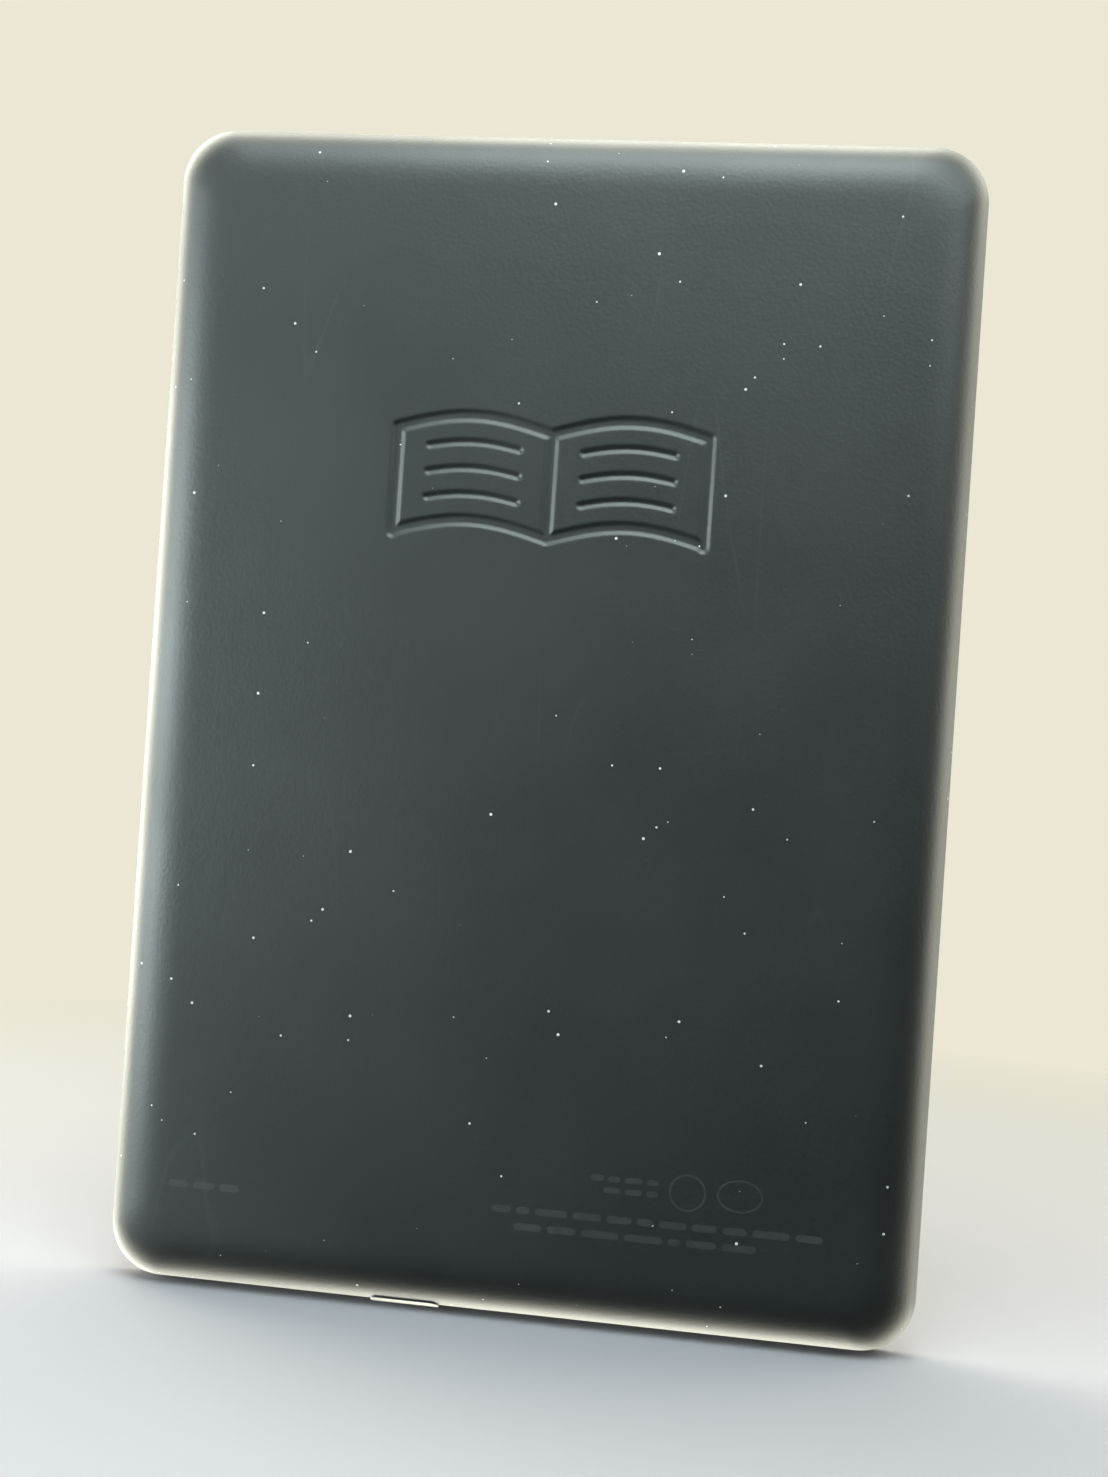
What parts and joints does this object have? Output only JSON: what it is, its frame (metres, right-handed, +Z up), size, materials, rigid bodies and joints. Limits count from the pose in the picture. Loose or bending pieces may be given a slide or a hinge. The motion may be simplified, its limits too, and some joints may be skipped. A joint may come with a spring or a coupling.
{
  "type": "e-reader",
  "caption": "Six-inch front-lit e-reader with a curved soft-touch back, recessed paper-like screen, micro-B charging socket and a power button on its bottom edge.",
  "frame": {"origin": "bottom centre of the bounding box of the reader standing upright on its bottom edge", "axes": "+Z up along the reader's height, +X to the right as seen from the screen side, the screen faces -Y and the curved back faces +Y"},
  "size_m": [0.117, 0.0092, 0.1691],
  "materials": {
    "soft_touch_plastic": "matt soft-touch coating",
    "bezel_plastic": "fine matt texture",
    "button_plastic": "satin",
    "dark_plastic": "moulded",
    "pale_plastic": "moulded",
    "clear_plastic": "polished, clear",
    "black_tape": "foam adhesive tape",
    "white_tape": "double-sided tape",
    "foam": "soft foam",
    "magnesium": "cast, bead-blasted",
    "screw_steel": "plated",
    "brass_parts": "turned",
    "shield_metal": "tin-plated",
    "screen_film": "anti-glare, paper-like",
    "clear_film": "clear",
    "ink_layer": "flat grey",
    "panel_glass": "ground edges",
    "chip_resin": "moulded resin",
    "led_resin": "clear resin",
    "flex_film": "amber film",
    "board_laminate": "solder mask",
    "ceramic": "fired",
    "ferrite": "pressed",
    "cell_foil": "laminated foil",
    "wire_jacket": "silicone",
    "cable_jacket": "smooth"
  },
  "bodies": {
    "reader": {"rear_cover": "soft_touch_plastic", "front_bezel": "bezel_plastic", "bezel_tape": "black_tape", "mid_frame": "magnesium", "frame_screws": "screw_steel", "boss_inserts": "brass_parts", "touch_film": "screen_film", "light_guide": "clear_film", "protective_sheet": "screen_film", "ink_laminate": "ink_layer", "glass_backplane": "panel_glass", "display_tape": "black_tape", "window_gasket": "black_tape", "driver_chips": "chip_resin", "light_strip": "flex_film", "light_strip_leds": "led_resin", "display_flex": "flex_film", "touch_flex": "flex_film", "light_flex": "flex_film", "main_board": "board_laminate", "board_screws": "screw_steel", "processor": "chip_resin", "memory_chip": "chip_resin", "storage_chip": "chip_resin", "power_chip": "chip_resin", "display_power_chip": "chip_resin", "radio_module": "chip_resin", "hall_sensor": "chip_resin", "board_capacitors": "ceramic", "board_coils": "ferrite", "processor_shield": "shield_metal", "radio_shield": "shield_metal", "display_connector": "pale_plastic", "touch_connector": "pale_plastic", "light_connector": "pale_plastic", "usb_shell": "shield_metal", "usb_tongue": "dark_plastic", "usb_contacts": "brass_parts", "switch_body": "pale_plastic", "status_led": "led_resin", "led_light_pipe": "clear_plastic", "battery_cell": "cell_foil", "battery_frame": "dark_plastic", "battery_screws": "screw_steel", "battery_tape": "white_tape", "battery_pad": "foam", "battery_board": "board_laminate", "battery_leads": "wire_jacket", "battery_plug": "pale_plastic", "battery_socket": "pale_plastic", "wifi_antenna": "flex_film", "antenna_cable": "cable_jacket", "antenna_plug": "brass_parts", "antenna_socket": "brass_parts"},
    "power_button": {"power_button": "button_plastic"},
    "switch_plunger": {"switch_plunger": "dark_plastic"}
  },
  "joints": [
    {"name": "power_button_press", "type": "slide", "parent": "reader", "child": "power_button", "axis": [0, 0, 1], "range_m": [0, 0.0003], "stiffness_N_per_m": 5000, "springref_m": -0.0001},
    {"name": "switch_plunger_press", "type": "slide", "parent": "reader", "child": "switch_plunger", "axis": [0, 0, 1], "range_m": [0, 0.0003]}
  ],
  "couplings": [
    {"joint": "switch_plunger_press", "follows": "power_button_press", "ratio": 1}
  ]
}
